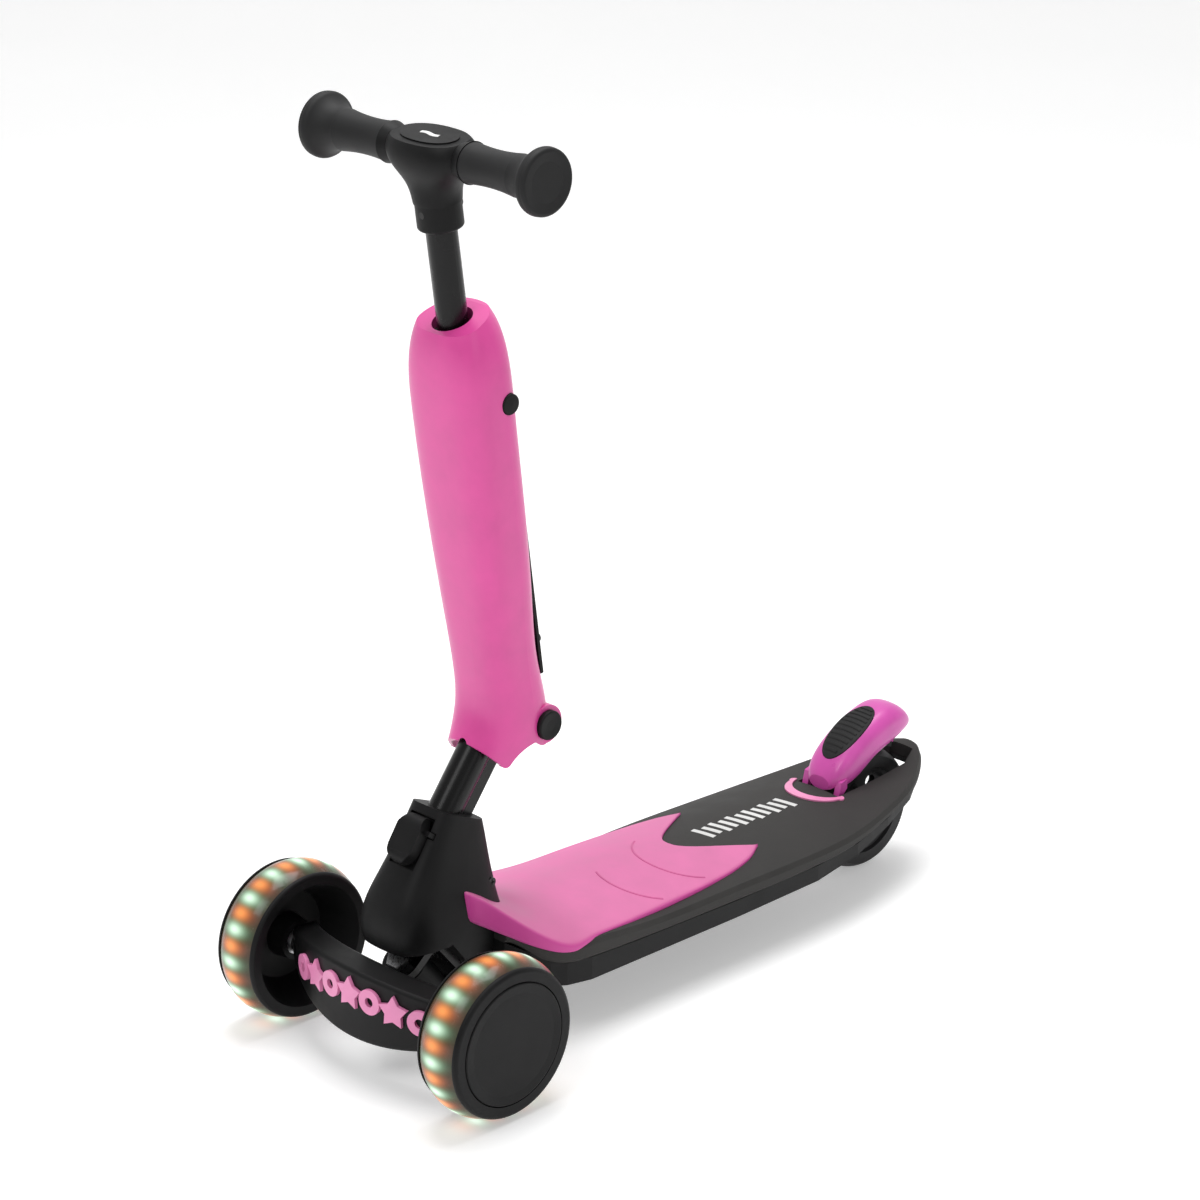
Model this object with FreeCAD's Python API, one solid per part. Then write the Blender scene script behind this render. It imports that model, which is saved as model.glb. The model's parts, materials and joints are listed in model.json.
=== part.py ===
import FreeCAD, Part
import math
import os

from FreeCAD import Placement, Rotation, Vector

# A toddler's three-wheeled kick scooter that converts to a ride-on.
# Units are millimetres.  +Z is up, -Y is the way it rides, +X is the rider's left.
# Everything is drawn from the point on the floor under the front axle and is
# moved, when it is written, so that the origin ends up under the middle of the
# whole scooter.

# ---------------------------------------------------------------- driving sizes
RUN_GAP = 0.05          # radial clearance of a running fit
FREE_GAP = 0.4          # clearance between pieces that move past each other

FRONT_WHEEL_R = 60.0
FRONT_TRACK = 108.0     # centre plane of each front wheel from the middle
REAR_WHEEL_R = 50.0
REAR_WHEEL_HALF = 12.0
REAR_AXLE_Y = 499.0
AXLE_R = 4.0
BEARING_R = 11.0
BEARING_WIDTH = 7.0

STEER_TILT = 40.0       # kingpin leans forward from the vertical
STEER_POINT = (0, 24, 60)
KINGPIN_R = 5.95

STEM_TILT = 37.0        # lower stem leans back
STEM_POINT = (0, 50.6, 178)     # middle of the stem just inside its socket
STEM_R = 12.5
STEM_BORE_R = 10.3
STEM_DEPTH = 40.0       # length of stem inside the socket
STEM_TOP = 82.0
RAIL_BACK = 20.0        # back of the stem's key rail, behind the stem's axis

CASE_TILT = 8.5         # casing and handlebar tube lean forward
CASE_POINT = (0, 104.7, 253.8)  # where the stem's axis meets the tube's axis
CASE_WALL = 3.0
CASE_TOP = 297.0
CASE_MOUTH = 292.0      # height of the sloping mouth at the tube's axis
CASE_CEILING = 282.5    # inside height of the casing
TUBE_R = 11.0
TUBE_BORE_R = 9.4
BAR_HEIGHT = 412.0      # crossbar above the casing point, along the tube
BAR_R = 8.0
GRIP_END = 112.0

FOLD_PIVOT = (125, 235)         # Y and Z of the pin that the seat folds on
FOLD_PIN_R = 5.0
YOKE_HALF = 21.5

DECK_HALF = 70.0
TAIL_END = 560.0
PAD_THICK = 2.5
SLOT_HALF = 21.5        # opening in the deck for the rear wheel and brake
SLOT_FRONT = 451.0
SLOT_TURN = 530.0
SLOT_REAR = 551.0
SLOT_REAR_HALF = 12.0
BRAKE_PIVOT = (442.5, 68.5)     # Y and Z
BRAKE_PIN_R = 3.0

SHIFT_BACK = (TAIL_END - FRONT_WHEEL_R) / 2

X_AXIS = Vector(1, 0, 0)
Y_AXIS = Vector(0, 1, 0)
Z_AXIS = Vector(0, 0, 1)


# ---------------------------------------------------------------- drawing tools
def leaning(point, degrees):
    """Frame whose Z leans forward from the vertical by the given angle."""
    return Placement(Vector(*point), Rotation(X_AXIS, degrees))


STEER_FRAME = leaning(STEER_POINT, STEER_TILT)
STEM_FRAME = leaning(STEM_POINT, -STEM_TILT)
CASE_FRAME = leaning(CASE_POINT, CASE_TILT)


def placed(shape, frame):
    moved = shape.copy()
    moved.Placement = frame.multiply(moved.Placement)
    return moved


def to_local(frame, point):
    return frame.inverse().multVec(Vector(*point))


def outline(start, steps, lift):
    """Closed face through points; a step that is a pair of points is an arc."""
    edges = []
    here = start
    for step in steps:
        if isinstance(step[0], tuple):
            via, end = step
            edges.append(Part.Arc(lift(*here), lift(*via), lift(*end)).toShape())
        else:
            end = step
            edges.append(Part.makeLine(lift(*here), lift(*end)))
        here = end
    if here != start:
        edges.append(Part.makeLine(lift(*here), lift(*start)))
    return Part.Face(Part.Wire(edges))


def slab_x(start, steps, low, high):
    """Outline in Y and Z, from X = low to X = high."""
    face = outline(start, steps, lambda y, z: Vector(low, y, z))
    return face.extrude(Vector(high - low, 0, 0))


def slab_y(start, steps, low, high):
    """Outline in X and Z, from Y = low to Y = high."""
    face = outline(start, steps, lambda x, z: Vector(x, low, z))
    return face.extrude(Vector(0, high - low, 0))


def slab_z(start, steps, low, high):
    """Outline in X and Y, from Z = low to Z = high."""
    face = outline(start, steps, lambda x, y: Vector(x, y, low))
    return face.extrude(Vector(0, 0, high - low))


def block(x_range, y_range, z_range):
    size = [high - low for low, high in (x_range, y_range, z_range)]
    return Part.makeBox(*size, Vector(x_range[0], y_range[0], z_range[0]))


def rod(radius, start, end):
    line = Vector(*end) - Vector(*start)
    return Part.makeCylinder(radius, line.Length, Vector(*start), line)


def sleeve(outer, inner, start, end):
    return rod(outer, start, end).cut(rod(inner, start, end))


def rod_x(radius, low, high, y=0, z=0):
    return rod(radius, (low, y, z), (high, y, z))


def sleeve_x(outer, inner, low, high, y=0, z=0):
    return rod_x(outer, low, high, y, z).cut(rod_x(inner, low, high, y, z))


def lathe(start, steps):
    """Outline of distance along X and radius, turned about the X axis."""
    face = outline(start, steps, lambda x, r: Vector(x, 0, r))
    return face.revolve(Vector(0, 0, 0), X_AXIS, 360)


def hexagon(across, low, high):
    corner = across / math.sqrt(3)
    points = [(corner * math.cos(math.radians(60 * i)), corner * math.sin(math.radians(60 * i)))
              for i in range(6)]
    return slab_z(points[0], points[1:], low, high)


def coil_spring(radius, wire, length, turns):
    """Round-wire spring along Z from 0 to its length."""
    run = length - wire
    helix = Part.makeHelix(run / turns, run, radius)
    ring = Part.Wire(Part.makeCircle(wire / 2, Vector(radius, 0, 0), Y_AXIS))
    coil = Part.Wire(helix).makePipeShell([ring], True, True)
    coil.translate(Vector(0, 0, wire / 2))
    return coil


def loop_through(points, pieces=4):
    """Smooth closed loop through points, cut into a few edges so that lofts get several faces."""
    curve = Part.BSplineCurve()
    curve.interpolate(Points=points, PeriodicFlag=True)
    start, end = curve.FirstParameter, curve.LastParameter
    edges = []
    for index in range(pieces):
        part = curve.copy()
        part.segment(start + (end - start) * index / pieces, start + (end - start) * (index + 1) / pieces)
        edges.append(part.toShape())
    return Part.Wire(edges)


def power_loop(half_width, front, rear, squareness, height, count=24):
    """Rounded section, squarer as the power grows, with its own front and rear depth."""
    power = 2 / squareness
    points = []
    for step in range(count):
        angle = 2 * math.pi * (step + 0.5) / count
        across = math.copysign(abs(math.cos(angle)) ** power, math.cos(angle))
        deep = math.copysign(abs(math.sin(angle)) ** power, math.sin(angle))
        depth = rear if deep > 0 else front
        points.append(Vector(half_width * across, depth * deep, height))
    return loop_through(points)


def fillet_where(shape, radius, wanted):
    edges = [edge for edge in shape.Edges if wanted(edge)]
    return shape.makeFillet(radius, edges) if edges else shape


def mirrored(shape):
    return shape.mirror(Vector(0, 0, 0), X_AXIS)


def joined(shapes):
    whole = shapes[0]
    for shape in shapes[1:]:
        whole = whole.fuse(shape)
    return whole.removeSplitter()


def save(name, *shapes):
    group = [shape.copy() for shape in shapes]
    for shape in group:
        shape.translate(Vector(0, -SHIFT_BACK, 0))
    solid = group[0] if len(group) == 1 else Part.makeCompound(group)
    solid.exportStep(os.path.join("parts", name + ".step"))
    box = solid.optimalBoundingBox(False)
    print("%-24s solids %d valid %s volume %9.0f  x %.1f %.1f  y %.1f %.1f  z %.1f %.1f" % (
        name, len(solid.Solids), solid.isValid(), solid.Volume,
        box.XMin, box.XMax, box.YMin, box.YMax, box.ZMin, box.ZMax))


# ---------------------------------------------------------------- front wheels
def front_tyre():
    return lathe((-16.1, 50.1), [(-16.5, 54.8), ((0, FRONT_WHEEL_R), (16.5, 54.8)), (16.1, 50.1)])


def front_core():
    """Black wheel body: tyre seat, deep inner dish, hub tube and seat for the cap."""
    return lathe((-20, 47), [
        (-20, 52), ((-18.9, 55.0), (-16.9, 55.6)), (-16.3, 50), (16.3, 50),
        (16.9, 55.6), ((19.2, 54.9), (20.4, 52)), (20.4, 46.2), (17, 46), (17, 39),
        (13, 37), (13, 15.5), (15, 15), (15, BEARING_R), (-6, BEARING_R), (-6, 15),
        (9.3, 17), (9.3, 34), (-14, 44.5)])


def front_cap():
    return lathe((18.5, 0), [
        (18.5, 13), (17.1, 14), (17.1, 45.4), (19.9, 45.4), ((20.7, 45.1), (21, 44.2)),
        (20.5, 38), (20.5, 0)])


def bearing(low):
    return sleeve_x(BEARING_R, AXLE_R + RUN_GAP, low, low + BEARING_WIDTH)


def led_ring():
    """Circuit ring with its lamps, on the outer face of the wheel's web."""
    ring = sleeve_x(36, 27, 13, 14.6)
    lamps = []
    for index in range(6):
        angle = math.radians(60 * index)
        y = 32 * math.cos(angle)
        z = 32 * math.sin(angle)
        lamps.append(rod_x(2.4, 14.6, 16.6, y, z))
    return joined([ring] + lamps)


def at_front_wheel(shape, side):
    """Moves a piece drawn for the left wheel, outward along +X, to its own wheel."""
    turned = shape.copy() if side == "left" else mirrored(shape)
    hand = 1 if side == "left" else -1
    turned.translate(Vector(hand * FRONT_TRACK, 0, FRONT_WHEEL_R))
    return turned


def front_axle_bolt():
    """Shouldered bolt, screwed into the beam, that the two bearings run on."""
    shaft = rod_x(AXLE_R, -32, 15.4)
    shoulder = rod_x(6.5, -8.5, -5.9)
    head = rod_x(6.8, 15.4, 18.1)
    socket = placed(hexagon(4, 0, 2), Placement(Vector(16.3, 0, 0), Rotation(Y_AXIS, 90)))
    return joined([shaft, shoulder, head]).cut(socket)


def save_front_wheels():
    sides = ("left", "right")
    for side in sides:
        save("front_%s_tyre" % side, at_front_wheel(front_tyre(), side))
        save("front_%s_core" % side, at_front_wheel(front_core(), side))
        save("front_%s_cap" % side, at_front_wheel(front_cap(), side))
        save("front_%s_bearings" % side, at_front_wheel(bearing(-5.5), side), at_front_wheel(bearing(8), side))
        save("front_%s_led_ring" % side, at_front_wheel(led_ring(), side))
    save("front_axle_bolts", *[at_front_wheel(front_axle_bolt(), side) for side in sides])
    save("front_magnets", *[at_front_wheel(sleeve_x(9, AXLE_R, 2, 7.5), side) for side in sides])


# ---------------------------------------------------------------- leaning front axle
BEAM_END = FRONT_TRACK - 8.5
HUB_R = 15.0
HUB_HALF = 13.0


def beam_plan(inset, low, high):
    """Crescent seen from above; the bow of the smile faces forward."""
    end = 98 - inset
    return slab_z((-end, -8 + inset), [
        ((0, -38 + inset), (end, -8 + inset)), (end, 15 - inset),
        ((0, -14 - inset), (-end, 15 - inset))], low, high)


def beam_face(inset):
    """Smile seen from the front, deep in the middle and slim at the wheels."""
    end = 98 - inset
    return slab_y((-end, 50 + inset), [
        ((0, 31 + inset), (end, 50 + inset)), (end, 73 - inset),
        ((0, 85 - inset), (-end, 73 - inset))], -60, 60)


def beam_shell():
    solid = beam_plan(0, 20, 100).common(beam_face(0))
    solid = fillet_where(solid, 3, lambda edge: edge.Length > 150)
    hollow = beam_plan(3.5, 10, 100).common(beam_face(3.5))
    opening = beam_plan(6, 20, 45).common(block((-70, 70), (-60, 60), (20, 45)))
    return solid.cut(hollow).cut(opening)


def beam_ribs():
    ribs = [block((x - 1.25, x + 1.25), (-37, 14), (36, 80)) for x in (-62, -40, -20, 20, 40, 62)]
    room = beam_plan(2, 10, 100).common(beam_face(2))
    return [rib.common(room) for rib in ribs]


def axle_beam():
    hub = placed(rod(HUB_R, (0, 0, -HUB_HALF), (0, 0, HUB_HALF)), STEER_FRAME)
    arm = block((-13, 13), (-34, 12), (40, 58))
    ends = []
    for hand in (1, -1):
        boss = rod_x(13, hand * 72, hand * 92, 0, FRONT_WHEEL_R)
        nose = Part.makeCone(13, 9, BEAM_END - 92, Vector(hand * 92, 0, FRONT_WHEEL_R), X_AXIS * hand)
        ends.extend([boss, nose])
    beam = joined([beam_shell(), hub, arm] + beam_ribs() + ends)
    beam = beam.cut(placed(rod(8, (0, 0, -20), (0, 0, 20)), STEER_FRAME))
    for hand in (1, -1):
        beam = beam.cut(rod_x(AXLE_R, hand * 76, hand * 110, 0, FRONT_WHEEL_R))
    return beam


def star(radius, waist, points, low, high):
    corners = []
    for index in range(2 * points):
        angle = math.pi * index / points + math.pi / 2
        reach = waist if index % 2 else radius
        corners.append((reach * math.cos(angle), reach * math.sin(angle)))
    return slab_z(corners[0], corners[1:], low, high)


def badge_shapes(beam):
    """Seven puffy stars and rings along the front of the beam."""
    bow = 175.0         # radius of the beam's front face
    shapes = []
    for index in range(-3, 4):
        across = 20.5 * index
        turn = math.degrees(math.asin(across / bow))
        height = 67.5 - 0.0015 * across * across
        front = -38 + bow - math.sqrt(bow * bow - across * across)
        if index % 2:
            shape = rod(9.6, (0, 0, -2), (0, 0, 2.6)).cut(rod(3.6, (0, 0, -3), (0, 0, 4)))
        else:
            shape = star(12.6, 7.2, 5, -2, 2.6)
        facing = Rotation(Z_AXIS, turn).multiply(Rotation(X_AXIS, 90))
        shapes.append(placed(shape, Placement(Vector(across, front, height), facing)).cut(beam))
    return shapes


def steer_bracket():
    """Steel fork that carries the kingpin, bolted to the nose of the frame."""
    lugs = []
    for low, high in ((15.4, 21.4), (-24, -18)):
        lug = rod(16, (0, 0, low), (0, 0, high)).fuse(block((-16, 16), (0, 26), (low, high)))
        lugs.append(lug)
    web = block((-18, 18), (20, 26), (-24, 21.4))
    fork = joined(lugs + [web])
    return placed(fork.cut(rod(6, (0, 0, -40), (0, 0, 40))), STEER_FRAME)


def save_front_axle():
    beam = axle_beam()
    save("axle_beam", beam)
    save("beam_badges", *badge_shapes(beam))
    save("kingpin_bush", placed(sleeve(8, KINGPIN_R + RUN_GAP, (0, 0, -13), (0, 0, 13)), STEER_FRAME))
    save("steer_bracket", steer_bracket())
    bolt = rod(KINGPIN_R, (0, 0, -33), (0, 0, 21.4)).fuse(hexagon(17, 21.4, 27))
    save("kingpin_bolt", placed(bolt, STEER_FRAME))
    nut = hexagon(18, -31, -24).cut(rod(KINGPIN_R, (0, 0, -34), (0, 0, 0)))
    save("kingpin_nut", placed(nut, STEER_FRAME))
    save("kingpin_washer", placed(sleeve(13, 6, (0, 0, 13.3), (0, 0, 15.4)), STEER_FRAME))
    save("centring_rubber", placed(sleeve(14.5, 6.4, (0, 0, -18), (0, 0, -13.3)), STEER_FRAME))


# ---------------------------------------------------------------- head housing and stem
HEAD_TOP_POINT = (0, 40, 187)    # on the sloping top of the head
HEAD_TOP_TILT = 22.8
HEAD_LEVELS = (
    # height, front Y, rear Y, half width, squareness
    (44, 58, 97, 25, 4),
    (70, 18, 97, 28, 4),
    (90, -9, 96, 32, 3.8),
    (105, -12.5, 90, 32.5, 3.7),
    (124, -7.5, 85, 30.2, 3.6),
    (145, 6, 81.5, 26, 3.6),
    (165, 20, 78, 23, 3.7),
    (185, 33, 73, 20.7, 3.8),
    (205, 45, 68, 20, 3.8),
)


def head_volume(inset):
    loops = []
    for height, front, rear, half, squareness in HEAD_LEVELS:
        depth = (rear - front) / 2
        loop = power_loop(half - inset, depth - inset, depth - inset, squareness, height)
        loop.translate(Vector(0, front + depth, 0))
        loops.append(loop)
    return Part.makeLoft(loops, True, False)


def head_housing():
    """Solid outside of the head, with its top and the room for the fork cut."""
    above = placed(block((-60, 60), (-60, 90), (0, 80)), leaning(HEAD_TOP_POINT, -HEAD_TOP_TILT))
    body = head_volume(0).cut(above)
    body = fillet_where(body, 2.5, lambda edge: edge.BoundBox.ZMin > 140 and edge.Length > 100)
    fork_room = placed(block((-40, 40), (-90, 26), (-90, 21.4)), STEER_FRAME)
    under = block((-40, 40), (-60, 30), (0, 92))
    return body.cut(fork_room).cut(under)


def head_hollow():
    """Ribbed space behind the fork and under the socket."""
    behind_fork = placed(block((-40, 40), (31, 160), (-90, 90)), STEER_FRAME)
    around_stem = placed(block((-20, 20), (-30, 40), (-60, 60)), STEM_FRAME)
    low = block((-60, 60), (-60, 200), (0, 118))
    room = head_volume(4).common(behind_fork).common(low).cut(around_stem)
    for x in (-11, 11):
        room = room.cut(block((x - 1.25, x + 1.25), (-60, 200), (0, 200)))
    return room


def socket_room():
    """Space for the stem with its rail, and for the latch that crosses it."""
    bore = rod(STEM_R + FREE_GAP, (0, 0, -STEM_DEPTH - FREE_GAP), (0, 0, 60))
    key = block((-7.5, 7.5), (5, RAIL_BACK + 0.7), (-STEM_DEPTH + 1.4, 60))
    latch = block((-17, 17), (-24, RAIL_BACK + 13.5), (-21.2, -16))
    pocket = block((-12.6, 12.6), (-40, -12.6), (-46.5, -7))
    return placed(joined([bore, key, latch, pocket]), STEM_FRAME)


def latch_plate():
    ring = block((-16.4, 16.4), (-21, RAIL_BACK + 4.5), (-20.4, -16.8))
    window = block((-13.4, 13.4), (-17.4, RAIL_BACK + 0.9), (-25, -10))
    return ring.cut(window)


def release_button():
    """Wedge on the front of the head, moulded in one with the plate that latches the stem."""
    side = slab_x((-16, -8), [
        (-21, -9), ((-25, -13), (-26, -20)), (-25, -38), ((-24, -43), (-20, -45.6)), (-16, -45.6)], -20, 20)
    face = slab_y((-7, -7.6), [
        (7, -7.6), (12, -19), (12, -34), ((9, -42), (0, -46)), ((-9, -42), (-12, -34)), (-12, -19)], -40, 0)
    return side.common(face).fuse(latch_plate()).removeSplitter()


def screw(frame, head_r=3.6, shank_r=1.9, length=12):
    """Pan-head screw whose head stands on the frame's origin, driven along -Z."""
    head = Part.makeCylinder(head_r, 2.2)
    shank = Part.makeCylinder(shank_r, length, Vector(0, 0, -length))
    cross = block((-2.2, 2.2), (-0.5, 0.5), (1.2, 3)).fuse(block((-0.5, 0.5), (-2.2, 2.2), (1.2, 3)))
    return placed(joined([head, shank]).cut(cross), frame)


def fold_yoke():
    """Casting on top of the stem that carries the seat's folding pin."""
    y, z = FOLD_PIVOT
    collar = placed(rod(COLLAR_R, (0, 0, 56), (0, 0, STEM_TOP)), STEM_FRAME)
    barrel = rod_x(13, -YOKE_HALF, YOKE_HALF, y, z)
    rail_top = placed(block((-11, 11), (6, 24), (64, STEM_TOP)), STEM_FRAME)
    link = slab_x((y - 3, z + 12), [(y - 27, z + 12), (y - 30, z - 4), (y - 6, z - 11)], -11, 11)
    body = joined([collar, barrel, rail_top, link])
    body = body.cut(placed(rod(STEM_R, (0, 0, 0), (0, 0, STEM_TOP - 2)), STEM_FRAME))
    body = body.cut(placed(key_rail(), STEM_FRAME))
    return body.cut(rod_x(FOLD_PIN_R, -40, 40, y, z))


def key_rail():
    rail = block((-7, 7), (4, RAIL_BACK), (-STEM_DEPTH + 2, 64))
    rail = rail.cut(rod(STEM_R, (0, 0, -60), (0, 0, 80)))
    rail = rail.cut(block((-8, 8), (RAIL_BACK - 2.5, RAIL_BACK + 2), (-21.2, -16)))
    groove = block((-2.5, 2.5), (RAIL_BACK - 1.5, RAIL_BACK + 2), (-10, 62))
    return rail.cut(groove)


def save_stem():
    housing = head_housing()
    room = socket_room()
    save("head_housing", housing.cut(room).cut(head_hollow()))
    screws = []
    for hand in (1, -1):
        for y, z in ((26, 104), (74, 126)):
            reach = 24.5 if z > 110 else 30
            frame = Placement(Vector(hand * reach, y, z), Rotation(Y_AXIS, 90 * hand))
            screws.append(frame)
    save("housing_screws", *[screw(frame, length=2).cut(housing) for frame in screws])
    save("release_button", placed(release_button(), STEM_FRAME))
    coil = placed(coil_spring(2.2, 0.8, 4.6, 3), Placement(Vector(0, RAIL_BACK + 8.3, -18.6), Rotation(X_AXIS, -90)))
    save("release_spring", placed(coil, STEM_FRAME))
    tube = sleeve(STEM_R, STEM_BORE_R, (0, 0, -STEM_DEPTH), (0, 0, STEM_TOP - 2))
    save("stem_tube", placed(tube, STEM_FRAME))
    save("stem_key_rail", placed(key_rail(), STEM_FRAME))
    plug = rod(STEM_BORE_R, (0, 0, -STEM_DEPTH), (0, 0, -28)).cut(rod(7, (0, 0, -36), (0, 0, -20)))
    save("stem_end_plug", placed(plug, STEM_FRAME))
    save("fold_yoke", fold_yoke())
    y, z = FOLD_PIVOT
    save("fold_pin", rod_x(FOLD_PIN_R, -29.9, 29.9, y, z))
    knobs = []
    for hand in (1, -1):
        knob = lathe((29.9, 0), [(29.9, KNOB_R), (32.6, KNOB_R), ((33.6, 10.6), (34, 9.6)), (33.4, 4), (33.4, 0)])
        knob = knob if hand > 0 else mirrored(knob)
        knob.translate(Vector(0, y, z))
        knobs.append(knob)
    save("fold_knobs", *knobs)


# ---------------------------------------------------------------- casing that becomes the seat
CASE_SECTIONS = (
    # height, half width, front, rear, squareness
    (-58, 31, 66, 36, 2.1),
    (-36, 31, 51, 35, 2.1),
    (-18, 31, 37, 33, 2.3),
    (0, 30, 27, 30.5, 2.7),
    (26, 29, 24, 26.5, 3.0),
    (78, 31.5, 24.5, 25.5, 3.2),
    (155, 35.5, 25.5, 25.5, 3.3),
    (225, 37.5, 25.5, 25.5, 3.2),
    (262, 36, 24, 27.5, 3.0),
    (284, 31, 19.5, 27.5, 2.7),
    (CASE_TOP, 24.5, 13.5, 25, 2.3),
)
COVER_LOW = 14.0
COVER_HIGH = 262.0
COVER_HALF = 21.6
BUTTON_DEPTH = 11.0     # height button behind the tube's axis
BUTTON_HEIGHT = 233.0
BUTTON_R = 7.5
EAR_R = 15.5
MOUTH_TILT = 13.5       # the mouth slopes down to the front
KNOB_R = 11.0
COLLAR_R = 15.0


def case_volume(inset):
    loops = []
    for height, half, front, rear, squareness in CASE_SECTIONS:
        loops.append(power_loop(half - inset, front - inset, rear - inset, squareness, height))
    return Part.makeLoft(loops, True, False)


def case_foot():
    """Everything under the casing's lower edge, seen from the side."""
    y, z = FOLD_PIVOT
    low = slab_x((30, 269), [
        (83, 214), ((86.5, 211.5), (90, 213)), ((101, 222), (y - 12, z - 10)),
        ((y, z - EAR_R), (y + EAR_R, z)), ((y + 11, z + 11), (y + 8, z + 26)),
        (200, z + 40), (200, 150), (30, 150)], -60, 60)
    return placed(low, CASE_FRAME.inverse())


def seat_shell():
    outer = case_volume(0)
    inner = case_volume(CASE_WALL)
    lid = block((-60, 60), (-60, 60), (CASE_CEILING, CASE_TOP + 20))
    mouth = placed(block((-60, 60), (-60, 60), (0, 40)), leaning((0, 0, CASE_MOUTH), MOUTH_TILT))
    window = block((-COVER_HALF - 0.3, COVER_HALF + 0.3), (9, 80), (-60, COVER_HIGH + 0.3))
    shell = outer.cut(inner.cut(lid)).cut(case_foot()).cut(mouth)
    pivot = to_local(CASE_FRAME, (0, *FOLD_PIVOT))
    for hand in (1, -1):
        shell = shell.fuse(rod_x(EAR_R - 1, hand * 22, hand * 29.5, pivot.y, pivot.z))
        shell = shell.cut(rod_x(KNOB_R + FREE_GAP, hand * 29.5, hand * 50, pivot.y, pivot.z))
    shell = shell.cut(window)
    shell = shell.cut(rod_x(FOLD_PIN_R + RUN_GAP, -60, 60, pivot.y, pivot.z))
    stem_room = placed(rod(COLLAR_R + 0.6, (0, 0, 20), (0, 0, STEM_TOP + 4)), STEM_FRAME)
    shell = shell.cut(placed(stem_room, CASE_FRAME.inverse()))
    shell = shell.cut(rod(14.6, (0, 0, CASE_TOP - 20), (0, 0, CASE_TOP + 20)))
    return shell.cut(rod_x(BUTTON_R + FREE_GAP, 25, 60, BUTTON_DEPTH, BUTTON_HEIGHT))


def back_cover():
    plate = block((-COVER_HALF, COVER_HALF), (24, 27.4), (COVER_LOW, COVER_HIGH))
    plate = fillet_where(plate, 1.5, lambda edge: edge.BoundBox.YMin > 26)
    for height in (40, 238):
        for hand in (1, -1):
            plate = plate.cut(rod(2, (hand * 16, 20, height), (hand * 16, 40, height)))
    return plate


def cover_screws():
    screws = []
    for height in (40, 238):
        for hand in (1, -1):
            frame = Placement(Vector(hand * 16, 27.4, height), Rotation(X_AXIS, -90))
            screws.append(screw(frame, length=10))
    return screws


def tube_guide():
    """Inner sleeve for the handlebar tube with bulkheads that fill the casing."""
    core = rod(14.5, (0, 0, 60), (0, 0, CASE_CEILING + 1))
    room = case_volume(CASE_WALL + 0.3)
    room = room.common(block((-60, 60), (-60, 23.8), (0, CASE_TOP)))
    plates = [block((-60, 60), (-60, 60), (low, low + 3)).common(room) for low in (64, 128, 196, 252)]
    guide = joined([core] + plates)
    guide = guide.cut(rod(TUBE_R + RUN_GAP, (0, 0, 0), (0, 0, 400)))
    guide = guide.cut(rod_x(3.4, -30, 0, 0, BUTTON_HEIGHT))
    for height in (40, 238):
        for hand in (1, -1):
            guide = guide.cut(rod(2.4, (hand * 16, 0, height), (hand * 16, 40, height)))
    return guide


def height_latch():
    """Ring round the guide; the button pushes it across, and its pin leaves the tube."""
    ring = block((-19, 22), (-18, 18), (230, 236)).cut(block((-15, 18.6), (-15.2, 15.2), (220, 240)))
    pin = rod_x(2.9, -16, -TUBE_R - FREE_GAP, 0, BUTTON_HEIGHT)
    return joined([ring, pin])


def height_button():
    shaft = rod_x(4, 22, 33)
    head = lathe((31, 0), [(31, BUTTON_R), (37.4, BUTTON_R), ((38.3, 7.1), (38.6, 6.2)), (39, 0)])
    button = joined([shaft, head])
    button.translate(Vector(0, BUTTON_DEPTH, BUTTON_HEIGHT))
    return joined([button, height_latch()])


def save_seat():
    save("seat_shell", placed(seat_shell(), CASE_FRAME))
    save("seat_back_cover", placed(back_cover(), CASE_FRAME))
    save("cover_screws", *[placed(item, CASE_FRAME) for item in cover_screws()])
    save("tube_guide", placed(tube_guide(), CASE_FRAME))
    save("height_button", placed(height_button(), CASE_FRAME))
    coil = placed(coil_spring(3.2, 0.9, 9.5, 5),
                  Placement(Vector(-33.2, 0, BUTTON_HEIGHT), Rotation(Y_AXIS, 90)))
    save("height_spring", placed(coil, CASE_FRAME))


# ---------------------------------------------------------------- handlebar
SOCKET_LOW = 359.0
HEAD_TOP = 424.0
HEAD_SECTIONS = (
    # height, half width, half depth, squareness
    (378, 16.9, 16.9, 2.0),
    (390, 20, 17.8, 2.1),
    (401, 29, 20.5, 2.3),
    (410, 34.5, 22.5, 2.5),
    (418.5, 35, 21.5, 2.5),
    (HEAD_TOP, 32, 18.5, 2.4),
)


def t_head():
    loops = [power_loop(half, deep, deep, squareness, height)
             for height, half, deep, squareness in HEAD_SECTIONS]
    crown = Part.makeLoft(loops, True, False)
    socket = rod(16.2, (0, 0, SOCKET_LOW), (0, 0, 386))
    socket = fillet_where(socket, 2, lambda edge: edge.BoundBox.ZMax < SOCKET_LOW + 1)
    arms = lathe((-40, 0), [(-40, 14.8), (-30, 11.8), (30, 11.8), (40, 14.8), (40, 0)])
    arms.translate(Vector(0, 0, BAR_HEIGHT))
    head = joined([crown, socket, arms])
    head = head.cut(rod(TUBE_R, (0, 0, 300), (0, 0, 398)))
    head = head.cut(rod_x(BAR_R, -50, 50, 0, BAR_HEIGHT))
    head = head.cut(t_head_cap())
    return head.cut(rod(2.5, (0, -30, 372), (0, 30, 372)))


def t_head_cap():
    loop = power_loop(25, 13.5, 13.5, 2.2, HEAD_TOP - 1.8)
    cap = Part.Face(loop).extrude(Vector(0, 0, 2.8))
    return cap


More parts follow.
